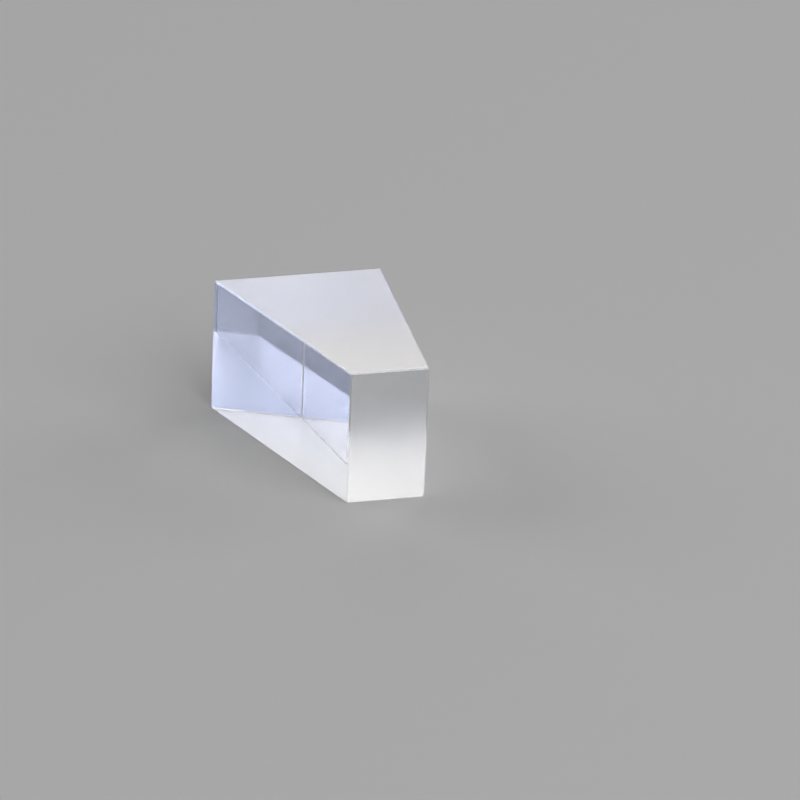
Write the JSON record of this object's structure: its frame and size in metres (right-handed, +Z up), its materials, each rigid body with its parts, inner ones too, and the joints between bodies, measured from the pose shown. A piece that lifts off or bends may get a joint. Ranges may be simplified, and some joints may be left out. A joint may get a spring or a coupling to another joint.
{
  "type": "truncated wedge prism",
  "caption": "Small glass optical prism with a right-trapezoid section, three polished faces, three fine-ground faces and narrow bevels on all edges.",
  "frame": {"origin": "middle of the ground bottom side that the prism stands on", "axes": "+Z up, out of the ground top side; +Y out of the long polished face; +X out of the square polished face; the short ground face looks along -Y and the slanted polished face looks to -X"},
  "size_m": [0.015, 0.019, 0.0127],
  "materials": {
    "optical_glass": "long, square and slanted faces polished; top, bottom, short face and bevels fine ground"
  },
  "bodies": {
    "root": {"prism": "optical_glass"}
  },
  "joints": []
}
